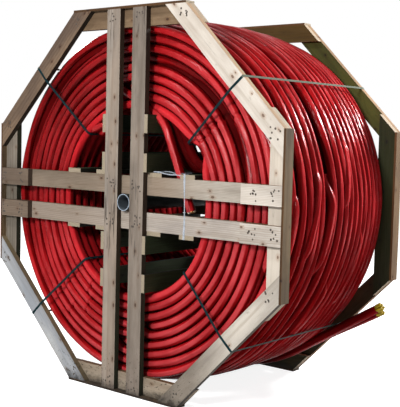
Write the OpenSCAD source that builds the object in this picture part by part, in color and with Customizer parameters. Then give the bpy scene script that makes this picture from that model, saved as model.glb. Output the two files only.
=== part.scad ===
// Cable duct coil on an octagonal timber drum.
// The drum's axis lies along Y, its front flange faces -Y, +Z is up, and the
// origin is in the middle of the hub tube. Each flange has two layers of planks:
// the outer layer (diagonals, uprights, end blocks) and the inner layer (rim
// planks, crossbars). The drum stands on its bottom edge boards.

/* [Flanges] */
// Distance across the flats of a flange's planks
flange_d = 2000; // [1900:10:2200]
// Length of each straight side: top, bottom, left and right
flat_side = 800; // [740:10:860]
// Overall width of the drum, outer plank face to outer plank face
drum_w = 1100; // [900:10:1300]
// Width of every flange plank
plank_w = 95; // [85:1:105]
// Thickness of every flange plank
plank_t = 32; // [24:1:38]
// Length of the end blocks at the ends of the crossbars
end_block_l = 234; // [170:1:280]
// Thickness of the boards nailed round a flange's straight edges
edge_board_t = 12; // [8:1:18]
// Length of those edge boards
edge_board_l = 800; // [700:10:820]

/* [Hub tube] */
// Outside diameter of the hub tube
hub_od = 89; // [76:0.5:102]
// Wall of the hub tube
hub_wall = 4; // [3:0.5:6]
// Clearance between the hub tube and the planks round it
hub_clearance = 0.25; // [0.2:0.05:0.5]

/* [Core boards] */
// Width of the core boards
core_w = 95; // [85:1:105]
// Thickness of the core boards
core_t = 22; // [18:1:28]
// Distance of the outer core boards' middle line from the hub axis
core_outer = 410; // [380:1:440]
// Gap between the uprights' and the crossbars' inner core boards
core_corner_gap = 2; // [1:0.5:6]

/* [Duct] */
// Outside diameter of the duct
duct_d = 48; // [42:1:54]
// Distance between layers of turns
layer_pitch = 49; // [43:0.5:60]
// Distance between turns side by side
turn_pitch = 53; // [49:0.5:60]
// Gap between the core boards' corners and the innermost turns
bore_clearance = 0.3; // [0.2:0.1:1]
// Gap between a flange's inner face and the first turns
side_clearance = 0.3; // [0.2:0.1:1]
// Gap between the coil's crown and the straps' straight run over it
crown_gap = 6; // [3:1:20]
// Least distance of the coil's crown inside the flats of the flanges
crown_below_flats = 16; // [14:1:40]
// How far the coil's front edge lies below its crown
front_drop = 58; // [30:1:90]
// How far the coil's rear edge lies below its crown
rear_drop = 32; // [20:1:90]

/* [Outer duct ends] */
// Clearance of the outer ends where they run off past the lower right strap
end_strap_gap = 3; // [2:0.5:12]
// How many degrees earlier the rear one of the two leaves the coil
end_spread = 2.5; // [0:0.5:4]
// Straight length of the outer ends
end_length = 560; // [450:10:620]
// Angle round the coil that the outer ends lie on before they leave
end_wrap = 60; // [30:5:70]
// Gap between the caps in one end
cap_gap = 0.4; // [0.2:0.1:1]
// Length of a cap that stands out of the sheath
cap_l = 42; // [30:1:60]

/* [Inner duct end] */
// Distance of the inner end's cut face to the right of the hub axis
inner_end_x = 395; // [392:1:400]
// Height of the inner end's cut face over the hub axis
inner_end_z = -26; // [-60:1:0]
// Lean of the inner end from upright
inner_end_lean = 23.5; // [22:0.5:25]
// Gap between the inner end's upper end and the innermost turns
inner_end_gap = 12; // [10:1:30]

/* [Straps] */
// Width of a packing strap
strap_w = 13; // [9:1:19]
// Thickness of a packing strap
strap_t = 1; // [0.8:0.1:1.5]
// Gap between a strap and what it runs over
strap_gap = 0.3; // [0.2:0.1:0.8]

/* [Tie band] */
// Width of the tie band
band_w = 20; // [10:1:26]
// Thickness of the tie band
band_t = 1; // [0.8:0.1:1.5]
// Gap between the tie band and what it lies on
band_gap = 0.3; // [0.2:0.1:0.8]
// Distance of its upright stretch from the hub axis, to the right
band_x = 393; // [380:1:410]
// Width of its loop round the inner duct end
band_loop_w = 180; // [120:10:220]

/* [Hidden] */
$fn = 96;

FLANGES = ["front", "rear"];
CORNERS = ["upper_right", "upper_left", "lower_left", "lower_right"];
SIDES = ["right", "top", "left", "bottom"];
CORE_SETS = ["right", "upper", "left", "lower"];

// Flange outline
flange_r = flange_d / 2;
half_side = flat_side / 2;
diagonal_r = (flange_r + half_side) / sqrt(2);
front_y = -drum_w / 2;
layer_2_y = front_y + plank_t;
inner_face_y = front_y + 2 * plank_t;

// Uprights and crossbars stand in pairs on either side of the hub tube
pair_gap = hub_od / 2 + hub_clearance;
pair_out = pair_gap + plank_w;

// Core boards: the inner ones start where the other set's inner ones end
core_upright_inner = pair_out + core_t + core_corner_gap + core_w / 2;
core_crossbar_inner = pair_out + core_corner_gap + core_w / 2;
core_r = sqrt(pow(core_outer + core_w / 2, 2) + pow(pair_out + core_t, 2));

// Coil: the turns' centre lines
duct_r = duct_d / 2;
bore_r = core_r + bore_clearance;
first_y = inner_face_y + side_clearance + duct_r;
coil_span = -2 * first_y;
turn_count = floor(coil_span / turn_pitch) + 1;
turn_step = coil_span / (turn_count - 1);
crown_r = min(diagonal_r - crown_gap, flange_r - crown_below_flats);
inner_turn_r = bore_r + duct_r;

// Outer radius of the coil at turn i: low at both sides, highest in the middle
function side_drop(s) = s < 0 ? front_drop : rear_drop;
function coil_r(i) =
    let (s = 2 * i / (turn_count - 1) - 1)
    crown_r - side_drop(s) * pow(abs(s), 2.6);
function turn_y(i) = first_y + i * turn_step;

// Centre of the outermost duct in turn i: [radius, y]
function outer_turn(i) = [coil_r(i) - duct_r, turn_y(i)];

// Radius of layer k on a side of the coil, counted outwards from 0
function layer_count(i) = floor((coil_r(i) - duct_d - bore_r) / layer_pitch) + 1;
function layer_r(i, k) =
    inner_turn_r + k * (coil_r(i) - duct_d - bore_r) / (layer_count(i) - 1);
last_turn = turn_count - 1;

// Centre of a duct that lies in the valley between turns i and i + 1
function valley(i) =
    let (
        a = outer_turn(i),
        half = (outer_turn(i + 1) - a) / 2,
        reach = duct_d + bore_clearance,
        height = sqrt(reach * reach - half * half)
    )
    a + half + height * [half[1], -half[0]] / norm(half);

// Angle of each strap round the drum, from +X towards +Z, by corner, and how far
// that is from the middle of the diagonal plank it crosses
STRAP_ANGLES = [40, 134, 224, 318];
DIAGONAL_ANGLE = 45;
LOWER_RIGHT = 3;
function strap_skew(corner) = STRAP_ANGLES[corner] - 90 * corner - DIAGONAL_ANGLE;

// Distance from the drum's axis to a strap's run over the outer edges of the
// diagonals, at an angle from their middle
function strap_edge(angle) = diagonal_r / cos(angle) + strap_w / 2 * abs(tan(angle));

// Angle where the outer ends leave the coil: just before the lower right strap,
// which the first of them clears as it runs straight on
strap_top = strap_edge(strap_skew(LOWER_RIGHT)) + strap_gap + strap_t;
end_lead = acos(valley(last_turn - 2)[0] / (strap_top + end_strap_gap + duct_r));
leave_angle = STRAP_ANGLES[LOWER_RIGHT] - 360 - end_lead - asin(strap_w / 2 / strap_top);

// The two outer ends: [centre, angle where it leaves the coil]
OUTER_ENDS = [
    [valley(last_turn - 2), leave_angle],
    [valley(last_turn - 1), leave_angle - end_spread]
];

// Seven caps in a duct's end: one in the middle and six round it
cap_d = (duct_d - 4 * cap_gap) / 3;
cap_ring_r = cap_d + cap_gap;

// A flat piece drawn in the X-Z plane, from y towards +Y
module slab(y, t)
    translate([0, y + t, 0])
        rotate([90, 0, 0])
            linear_extrude(t)
                children();

// Front pieces as drawn, rear pieces mirrored
module on_flange(f)
    if (f == "rear") mirror([0, 1, 0]) children();
    else children();

// Diagonal plank across the upper right corner, its ends cut flush with the flange
module diagonal_plank(corner)
    color("#b9ab97")
        slab(front_y, plank_t)
            rotate(90 * corner)
                polygon([
                    [half_side, flange_r],
                    [flange_r, half_side],
                    [flange_r, half_side - plank_w * sqrt(2)],
                    [half_side - plank_w * sqrt(2), flange_r]
                ]);

// Rim plank of the right side, its ends cut along the diagonals' outer edges
module rim_plank(side)
    color("#c3b59f")
        slab(layer_2_y, plank_t)
            rotate(90 * side)
                polygon([
                    [flange_r, half_side],
                    [flange_r - plank_w, half_side + plank_w],
                    [flange_r - plank_w, -half_side - plank_w],
                    [flange_r, -half_side]
                ]);

module upright(sign)
    color("#ab9d8b")
        slab(front_y, plank_t)
            translate([sign * (pair_gap + plank_w / 2), 0])
                square([plank_w, flange_d], center = true);

module crossbar(sign)
    color("#b3a590")
        slab(layer_2_y, plank_t)
            translate([0, sign * (pair_gap + plank_w / 2)])
                square([flange_d - 2 * plank_w, plank_w], center = true);

module end_blocks()
    color("#bfb29e")
        slab(front_y, plank_t)
            for (sx = [-1, 1])
                for (sz = [-1, 1])
                    translate([sx * (flange_r - end_block_l / 2), sz * (pair_gap + plank_w / 2)])
                        square([end_block_l, plank_w], center = true);

module edge_boards()
    color("#7d664b")
        slab(front_y, 2 * plank_t)
            for (side = [0:3])
                rotate(90 * side)
                    translate([flange_r + edge_board_t / 2, 0])
                        square([edge_board_t, edge_board_l], center = true);

// One core board on edge, its inner face at this distance from the hub axis
module core_board(at, z, length)
    translate([at + core_t / 2, 0, z])
        cube([core_t, length, core_w], center = true);

// The four core boards nailed to one side of the uprights
module upright_core_boards(turn)
    color("#6f6a48")
        rotate([0, turn, 0])
            for (z = [core_upright_inner, core_outer])
                for (sign = [-1, 1])
                    core_board(pair_out, sign * z, drum_w);

// The four core boards nailed to one side of the crossbars
module crossbar_core_boards(turn)
    color("#6f6a48")
        rotate([0, turn, 0])
            for (x = [core_crossbar_inner, core_outer])
                for (sign = [-1, 1])
                    core_board(pair_out, sign * x, drum_w - 2 * plank_t);

// Tube with its bore, along Y
module hub_tube()
    color("#aab4bd")
        rotate([90, 0, 0])
            difference() {
                cylinder(h = drum_w, d = hub_od, center = true);
                cylinder(h = drum_w + 2, d = hub_od - 2 * hub_wall, center = true);
            }

// Half section of the coil: X is the radius, Y runs along the drum's axis
module coil_section() {
    polygon(concat(
        [for (i = [0:last_turn]) outer_turn(i)],
        [[inner_turn_r, turn_y(last_turn)], [inner_turn_r, turn_y(0)]]
    ));
    for (i = [0:last_turn]) {
        translate(outer_turn(i)) circle(duct_r);
        translate([inner_turn_r, turn_y(i)]) circle(duct_r);
    }
    for (i = [0, last_turn])
        for (k = [1:layer_count(i) - 2])
            translate([layer_r(i, k), turn_y(i)]) circle(duct_r);
}

module duct_coil()
    color("#b3201f")
        rotate([-90, 0, 0])
            rotate_extrude()
                coil_section();

// Places its children at an outer end's leaving point: local X points away from
// the drum's axis, and the duct runs off along -Y
module at_leaving_point(end)
    translate([0, end[0][1], 0])
        rotate([-90, 0, 0])
            rotate([0, 0, -end[1]])
                children();

module outer_duct_ends()
    color("#8f1418")
        for (end = OUTER_ENDS)
            at_leaving_point(end) {
                rotate_extrude(angle = end_wrap)
                    translate([end[0][0], 0])
                        circle(duct_r);
                translate([end[0][0], 0, 0])
                    rotate([90, 0, 0])
                        cylinder(h = end_length, r = duct_r);
            }

module outer_end_caps()
    color("#c2a51e")
        for (end = OUTER_ENDS)
            at_leaving_point(end)
                translate([end[0][0], -end_length, 0])
                    rotate([90, 0, 0]) {
                        cylinder(h = cap_l, d = cap_d, $fn = 24);
                        for (a = [0:60:300])
                            rotate(a)
                                translate([cap_ring_r, 0])
                                    cylinder(h = cap_l, d = cap_d, $fn = 24);
                    }

// Straight stretch that drops out of the coil's bore behind the upper crossbar
module inner_duct_end()
    color("#b3201f")
        intersection() {
            translate([inner_end_x, first_y, inner_end_z])
                rotate([0, -inner_end_lean, 0])
                    cylinder(h = bore_r * 2, r = duct_r);
            rotate([90, 0, 0])
                cylinder(h = drum_w, r = bore_r - inner_end_gap, center = true);
        }

// A loop round the inner duct end, on the core boards, and a stretch down the
// front of both crossbars
band_seat_z = pair_out + core_t + band_gap;
band_front_y = layer_2_y - band_gap - band_t;
band_back_y = first_y + duct_r + band_gap;
band_duct_x = inner_end_x - (band_seat_z - inner_end_z) * tan(inner_end_lean);

module tie_band()
    color("#c9ccd6") {
        translate([band_duct_x - band_loop_w / 2, band_front_y, band_seat_z])
            difference() {
                cube([band_loop_w, band_back_y + band_t - band_front_y, band_w / 2]);
                translate([band_t, band_t, -1])
                    cube([band_loop_w - 2 * band_t, band_back_y - band_front_y - band_t, band_w]);
            }
        translate([band_x - band_w / 2, band_front_y, -band_seat_z])
            cube([band_w, band_t, 2 * band_seat_z + band_w / 2]);
    }

// Half outline of a strap in its own plane, X away from the drum's axis and Y
// along it, at a gap from what it runs over. angle is measured from the middle
// of the diagonal that it crosses.
function strap_half(angle, gap) =
    let (
        edge = strap_edge(angle),
        back = (diagonal_r - plank_w) / cos(angle) - strap_w / 2 * abs(tan(angle)),
        face = front_y - gap
    )
    concat(
        [[edge + gap, face], [back - gap, face]],
        [for (a = [-100:-10:-180]) [inner_turn_r, first_y] + (duct_r + gap) * [cos(a), sin(a)]]
    );

function strap_outline(angle, gap) =
    let (half = strap_half(angle, gap))
    concat(half, [for (i = [len(half) - 1:-1:0]) [half[i][0], -half[i][1]]]);

module strap(corner)
    color("#23474a")
        rotate([0, -STRAP_ANGLES[corner], 0])
            linear_extrude(strap_w, center = true)
                difference() {
                    polygon(strap_outline(strap_skew(corner), strap_gap + strap_t));
                    polygon(strap_outline(strap_skew(corner), strap_gap));
                }

for (f = FLANGES) {
    for (i = [0:3]) {
        on_flange(f) diagonal_plank(i);
        on_flange(f) rim_plank(i);
    }
    on_flange(f) upright(-1);
    on_flange(f) upright(1);
    on_flange(f) crossbar(1);
    on_flange(f) crossbar(-1);
    on_flange(f) end_blocks();
    on_flange(f) edge_boards();
}
upright_core_boards(0);  // core_boards_right
upright_core_boards(180);  // core_boards_left
crossbar_core_boards(-90);  // core_boards_upper
crossbar_core_boards(90);  // core_boards_lower
hub_tube();
duct_coil();
outer_duct_ends();
outer_end_caps();
inner_duct_end();
tie_band();
for (i = [0:3])
    strap(i);
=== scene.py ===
"""Looks of the cable duct coil on its octagonal timber drum.

The drum's axis lies along Y, its front flange faces -Y and +Z is up. All lengths
are metres. The timber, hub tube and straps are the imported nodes, with materials of
their own. The coil, the duct's ends and the tie film are modelled here turn by turn,
and nails and the inner end's cut microducts are added.
"""

import math

import bpy
import numpy as np
from mathutils import Matrix, Vector


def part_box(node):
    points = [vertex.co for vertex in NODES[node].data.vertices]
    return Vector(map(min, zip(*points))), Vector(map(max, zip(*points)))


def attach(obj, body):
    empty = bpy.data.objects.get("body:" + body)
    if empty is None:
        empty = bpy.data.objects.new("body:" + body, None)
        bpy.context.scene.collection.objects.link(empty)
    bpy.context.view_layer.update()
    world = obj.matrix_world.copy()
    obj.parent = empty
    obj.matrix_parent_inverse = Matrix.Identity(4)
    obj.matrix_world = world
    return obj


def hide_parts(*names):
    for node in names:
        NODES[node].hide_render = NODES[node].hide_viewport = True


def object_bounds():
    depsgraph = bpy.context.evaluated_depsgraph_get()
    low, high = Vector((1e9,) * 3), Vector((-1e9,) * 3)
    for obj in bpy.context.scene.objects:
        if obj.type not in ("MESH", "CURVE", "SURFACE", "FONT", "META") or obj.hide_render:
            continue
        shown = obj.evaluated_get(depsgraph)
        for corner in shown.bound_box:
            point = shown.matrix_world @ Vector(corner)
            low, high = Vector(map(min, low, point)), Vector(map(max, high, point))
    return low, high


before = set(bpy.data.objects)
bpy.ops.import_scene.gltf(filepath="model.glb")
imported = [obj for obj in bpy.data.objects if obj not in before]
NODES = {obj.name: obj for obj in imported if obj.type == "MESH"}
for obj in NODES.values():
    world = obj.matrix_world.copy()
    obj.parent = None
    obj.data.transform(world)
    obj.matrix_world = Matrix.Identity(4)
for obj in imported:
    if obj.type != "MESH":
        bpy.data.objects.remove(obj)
CAD_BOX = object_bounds()
TAU = 2 * math.pi
X, Y, Z = (1, 0, 0), (0, 1, 0), (0, 0, 1)


# ---------------- sizes

FRONT_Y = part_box("front_upright_left")[0].y
FLANGE_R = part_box("front_upright_left")[1].z
UPRIGHT_LOW, UPRIGHT_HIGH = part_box("front_upright_right")
PLANK_W = UPRIGHT_HIGH.x - UPRIGHT_LOW.x
PAIR_X = (UPRIGHT_LOW.x + UPRIGHT_HIGH.x) / 2
HALF_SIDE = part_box("front_rim_right")[1].z - PLANK_W
END_BLOCK_L = 0.234
WORN_EDGE = 0.0015
NAIL_R = 0.0053
FLOOR_Z = CAD_BOX[0].z

# The duct: seven microducts in a sheath drawn tight, so six soft ridges show on it
DUCT_R = 0.024
SNUG = 0.950
RIDGES = 6
RIDGE_DEPTH = 0.0026
RIDGE_LAY = 1.3
RIDGE_SWING = 2.3

# The coil: turns side by side, layers one over the other
COIL_LOW, COIL_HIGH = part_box("duct_coil")
CROWN_R = COIL_HIGH.x
FRONT_DROP = 0.058
REAR_DROP = 0.032
CROWN_POWER = 2.6
TURNS = 18
LAYERS = 9
FIRST_Y = COIL_LOW.y + DUCT_R
HALF_Y = -FIRST_Y
TURN_STEP = 2 * HALF_Y / (TURNS - 1)
TOUCHING = 2 * DUCT_R + 0.0003
LEAST = 2 * DUCT_R + 0.0005
CORE_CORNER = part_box("core_boards_right")[1]
INNER_TURN_R = math.hypot(CORE_CORNER.x, CORE_CORNER.z) + 0.0003 + DUCT_R
SAG = 0.004
DIVE = 0.046

# The loose ends, which lie in two gaps between outer turns
END_GAPS = (TURNS - 3, TURNS - 2)
END_LENGTH = 0.560
END_LEAVES = [math.radians(-58.49), math.radians(-60.99)]
CAP_L = 0.042
CAP_D = 0.01547
CAP_RING_R = 0.01587
INNER_END = (0.395, FIRST_Y, -0.026)
INNER_LEAN = math.radians(23.5)

# Starts of the random draws
OUTER_SEED, BORE_SEED, CAPS_SEED, NAILS_SEED, FILM_SEED = 11, 5, 8, 77, 31
FACE_SEED = {-1: 21, 1: 22}
TIMBER_SEED_STEP = 1.37


# ---------------- arrays

def ease(t):
    """0 below 0, 1 above 1, smooth between."""
    t = np.clip(t, 0, 1)
    return t * t * (3 - 2 * t)


def away(phi, centre):
    """Signed difference of two angles, from -pi to pi."""
    return (phi - centre + math.pi) % TAU - math.pi


def bump(phi, centre_deg, width_deg):
    """1 at an angle round the coil and falling off smoothly to either side."""
    return np.exp(-(away(phi, math.radians(centre_deg)) / math.radians(width_deg)) ** 2)


def plateau(phi, low_deg, high_deg, soft_deg):
    """1 between two angles, falling off to 0 within so many degrees outside them."""
    middle = math.radians((low_deg + high_deg) / 2)
    half = math.radians((high_deg - low_deg) / 2)
    return ease((half + math.radians(soft_deg) - np.abs(away(phi, middle)))
                / math.radians(soft_deg))


def smooth_path(points, steps):
    """A curve through all the points, so many steps from one to the next."""
    p = np.array(points, float)
    p = np.vstack([2 * p[0] - p[1], p, 2 * p[-1] - p[-2]])
    t = (np.arange(steps) / steps)[:, None]
    parts = [
        0.5 * (2 * b + (c - a) * t + (2 * a - 5 * b + 4 * c - d) * t ** 2
               + (3 * b - a - 3 * c + d) * t ** 3)
        for a, b, c, d in zip(p, p[1:], p[2:], p[3:])
    ]
    return np.vstack(parts + [p[-2:-1]])


def curve_through(points, count):
    """A Bezier curve over four points."""
    t = np.linspace(0, 1, count)[:, None]
    a, b, c, d = (np.array(q, float) for q in points)
    return a * (1 - t) ** 3 + 3 * b * t * (1 - t) ** 2 + 3 * c * t ** 2 * (1 - t) + d * t ** 3


def ripples(rng, count, phi, size, harmonics=(1, 2, 3, 5)):
    """One smooth periodic wave round the coil for each of count turns."""
    waves = np.zeros((count, len(phi)))
    for h in harmonics:
        height = rng.normal(0, 1, (count, 1)) / math.sqrt(h)
        start = rng.uniform(0, TAU, (count, 1))
        waves += height * np.sin(h * phi[None, :] + start)
    return size * waves / math.sqrt(len(harmonics))


def along_tracks(u, values, arc, shifts=None):
    """Follows track 0 up to revolution 1, track 1 up to revolution 2 and so on,
    crossing over within an arc of so many revolutions."""
    shifts = shifts or [0] * len(values)
    here = values[0].copy()
    for j in range(1, len(values)):
        w = ease((u - (j + shifts[j])) / arc + 0.5)
        here = here * (1 - w) + values[j] * w
    return here


def round_points(phi, r, y):
    return np.stack([r * np.cos(phi), y, r * np.sin(phi)], axis=1)


def circle(count):
    """So many angles evenly round a full circle."""
    return np.arange(count) / count * TAU


# ---------------- meshes

class Builder:
    """Collects tubes and lathed shapes into one mesh."""

    def __init__(self):
        self.points, self.faces, self.uvs, self.count = [], [], [], 0

    def grid(self, rings, uv, closed=False):
        """rings: n x m x 3 points, joined round each ring."""
        n, m = rings.shape[:2]
        index = np.arange(n * m).reshape(n, m) + self.count
        a = index if closed else index[:-1]
        b = np.roll(index, -1, axis=0) if closed else index[1:]
        quads = np.stack(
            [a, np.roll(a, -1, axis=1), np.roll(b, -1, axis=1), b], axis=2
        ).reshape(-1, 4)
        self.points.append(rings.reshape(-1, 3))
        self.faces.extend(quads.tolist())
        self.uvs.append(uv.reshape(-1, 2))
        self.count += n * m
        return index

    def capped(self, rings, uv):
        """An open grid with a lid on either end."""
        index = self.grid(rings, uv)
        self.faces.append(index[0].tolist())
        self.faces.append(index[-1].tolist()[::-1])

    def build(self, name, material, sharp_deg=50):
        mesh = bpy.data.meshes.new(name)
        points = np.concatenate(self.points)
        mesh.from_pydata(points.tolist(), [], self.faces)
        uv = np.concatenate(self.uvs)
        corners = np.zeros(len(mesh.loops), np.int32)
        mesh.loops.foreach_get("vertex_index", corners)
        layer = mesh.uv_layers.new(name="UVMap")
        layer.data.foreach_set("uv", uv[corners].astype(np.float32).ravel())
        mesh.shade_smooth()
        mesh.set_sharp_from_angle(angle=math.radians(sharp_deg))
        mesh.materials.append(material)
        piece = bpy.data.objects.new(name, mesh)
        bpy.context.scene.collection.objects.link(piece)
        return piece


def rings_round(path, wide, along_wide, thick, along_thick):
    """A ring of points round each point of a path, given so far along two directions."""
    return (path[:, None, :] + along_wide[:, :, None] * wide[:, None, :]
            + along_thick[:, :, None] * thick[:, None, :])


def duct(builder, path, phase, size=1.0, sides=24, closed=False):
    """The duct along a path, drawn tight over its microducts: the ridges of the outer
    six wind to and fro along it."""
    tangent = np.gradient(path, axis=0)
    if closed:
        tangent = (np.roll(path, -1, axis=0) - np.roll(path, 1, axis=0)) / 2
    step = np.linalg.norm(tangent, axis=1)
    tangent /= step[:, None]
    s = np.cumsum(step)
    out = path * [1, 0, 1]
    out = out - tangent * (out * tangent).sum(1)[:, None]
    out /= np.linalg.norm(out, axis=1)[:, None]
    side = np.cross(tangent, out)
    lay = RIDGE_LAY * np.sin(s / RIDGE_SWING * TAU + phase) + phase * 3
    if closed:
        lay = phase + 0.5 * np.sin(circle(len(path)) * 3 + phase)
    theta = circle(sides)
    r = DUCT_R - RIDGE_DEPTH / 2 * (1 - np.cos(RIDGES * theta))
    r = r[None, :] * np.broadcast_to(size, len(path))[:, None]
    turn = theta[None, :] + lay[:, None]
    rings = rings_round(path, out, r * np.cos(turn), side, r * np.sin(turn))
    uv = np.stack(
        [np.tile(s[:, None], (1, sides)), np.tile(theta * DUCT_R, (len(path), 1))], axis=2
    )
    if closed:
        builder.grid(rings, uv, closed)
    else:
        builder.capped(rings, uv)


def lathe(builder, centre, ahead, out, profile, sides=16):
    """Turns [distance ahead, radius] pairs round an axis; lids close its ends."""
    side = np.cross(ahead, out)
    angle = circle(sides)
    round_out = np.cos(angle)[:, None] * out + np.sin(angle)[:, None] * side
    rings = np.array([centre + a * np.array(ahead) + r * round_out for a, r in profile])
    uv = np.zeros(rings.shape[:2] + (2,))
    uv[:, :, 0] = np.array([a for a, _ in profile])[:, None]
    uv[:, :, 1] = angle * profile[0][1]
    builder.capped(rings, uv)


# ---------------- materials

SHEATH_BLEACHED_SHEEN = "#b9494d"
SHEATH_SCUFF = "#c2433f"
SHEATH_DUST = "#b9a294"
SHEATH_GAP_SHADE = "#6b4a48"
SHEATH_IN_SHADE = "#c9a5a5"

WOOD_LATE = "#a3825c"
WOOD_STREAK = "#a89682"
WOOD_FIBRE = "#c8b89f"
WOOD_HALO = "#c49a74"
WOOD_KNOT = "#76543e"
WOOD_CRACK = "#3d332a"
WOOD_OLIVE = "#5d5f3c"
WOOD_GRIME = "#4c4238"
WOOD_SCAR = "#38302a"
WOOD_GREEN_REFLECTION = "#2a4522"
WOOD_MUD = "#1c1815"

SIDE_SHADE = "#8d6d4b"
SAWN_ENDS = ("#b2a48e", "#857460")
FEW_CRACKS, MANY_CRACKS = 0.735, 0.685

RING_STEP = 0.0062
PITH_DEPTH = 0.60
KNOT_CELLS = (8, 13, 1)
HUB_MARKS_Z = -0.08
EMBOSS_STEP = 0.004


def linear(code):
    """Linear colour of a written sRGB colour such as #a08060."""
    parts = [int(code[i:i + 2], 16) / 255 for i in (1, 3, 5)]
    return tuple(
        p / 12.92 if p <= 0.04045 else ((p + 0.055) / 1.055) ** 2.4 for p in parts
    ) + (1.0,)


class Graph:
    """A node tree, with short calls for the nodes that go into it."""

    def __init__(self, tree):
        self.tree = tree

    def feed(self, socket, value):
        if isinstance(value, bpy.types.NodeSocket):
            self.tree.links.new(value, socket)
        else:
            socket.default_value = value

    def node(self, kind, settings=None, **inputs):
        made = self.tree.nodes.new("ShaderNode" + kind)
        for key, value in (settings or {}).items():
            setattr(made, key, value)
        for key, value in inputs.items():
            self.feed(made.inputs[key.replace("_", " ")], value)
        return made

    def math(self, operation, a, b=0.0):
        made = self.node("Math", {"operation": operation})
        for socket, value in zip(made.inputs, (a, b)):
            self.feed(socket, value)
        return made.outputs[0]

    def times(self, a, b):
        return self.math("MULTIPLY", a, b)

    def plus(self, a, b):
        return self.math("ADD", a, b)

    def most(self, a, b):
        return self.math("MAXIMUM", a, b)

    def absolute(self, a):
        return self.math("ABSOLUTE", a)

    def hypot(self, a, b):
        return self.math("SQRT", self.plus(self.times(a, a), self.times(b, b)))

    def vector(self, operation, a, b=None, output="Vector"):
        made = self.node("VectorMath", {"operation": operation})
        self.feed(made.inputs[0], a)
        if b is not None:
            self.feed(made.inputs[1], b)
        return made.outputs[output]

    def dot(self, a, b):
        return self.vector("DOT_PRODUCT", a, b, "Value")

    def xyz(self, vector):
        return self.node("SeparateXYZ", Vector=vector).outputs

    def mix(self, factor, a, b, blend="MIX"):
        made = self.node("Mix", {"data_type": "RGBA", "blend_type": blend})
        for index, value in ((0, factor), (6, a), (7, b)):
            self.feed(made.inputs[index], value)
        return made.outputs[2]

    def paint(self, colour, factor, code):
        """Covers a colour with a written one."""
        return self.mix(factor, colour, linear(code))

    def glaze(self, colour, factor, code):
        """Multiplies a colour by a written one."""
        return self.mix(factor, colour, linear(code), "MULTIPLY")

    def band(self, value, low, high, to_low=0.0, to_high=1.0):
        made = self.node("MapRange", {"interpolation_type": "SMOOTHSTEP"}, Value=value)
        for key, number in (
            ("From Min", low), ("From Max", high), ("To Min", to_low), ("To Max", to_high)
        ):
            self.feed(made.inputs[key], number)
        return made.outputs["Result"]

    def noise(self, vector, scale, detail=2, rough=0.5):
        return self.node(
            "TexNoise", Vector=vector, Scale=scale, Detail=detail, Roughness=rough
        ).outputs["Fac"]

    def stretch(self, vector, scale, shift=(0, 0, 0)):
        return self.node("Mapping", Vector=vector, Scale=scale, Location=shift).outputs[0]

    def stretched_noise(self, vector, scale, detail=2, rough=0.5):
        return self.noise(self.stretch(vector, scale), 1.0, detail, rough)

    def position(self):
        return self.node("TexCoord").outputs["Object"]

    def normal(self):
        return self.node("NewGeometry").outputs["Normal"]

    def bump(self, height, distance, normal=None, strength=1.0):
        made = self.node("Bump", Height=height, Distance=distance, Strength=strength)
        if normal is not None:
            self.feed(made.inputs["Normal"], normal)
        return made.outputs[0]

    def seen_straight(self):
        """1 for camera, glossy and transmission rays, 0 for the rays that light things."""
        rays = self.node("LightPath").outputs
        shown = self.most(rays["Is Camera Ray"], rays["Is Glossy Ray"])
        return self.most(shown, rays["Is Transmission Ray"])


class Shader(Graph):
    """A Principled material."""

    def __init__(self, name):
        self.material = bpy.data.materials.new(name)
        self.material.use_nodes = True
        super().__init__(self.material.node_tree)

    def set(self, **values):
        surface = self.tree.nodes["Principled BSDF"]
        for key, value in values.items():
            self.feed(surface.inputs[key.replace("_", " ")], value)
        return self.material


def turn_facings(m, at, y):
    """How far a turn's surface faces outward at the crown and sideways at the faces,
    and where the faces are."""
    normal = m.normal()
    level = m.vector("MULTIPLY", at, (1, 0, 1))
    outward = m.dot(m.vector("NORMALIZE", level), normal)
    radius = m.vector("LENGTH", level, output="Value")
    at_crown = m.band(radius, CROWN_R - 0.080, CROWN_R - 0.045)
    at_face = m.band(m.absolute(y), HALF_Y - 0.036, HALF_Y - 0.004)
    sideways = m.times(m.absolute(m.xyz(normal)["Y"]), at_face)
    return m.times(outward, at_crown), sideways, at_face


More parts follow.
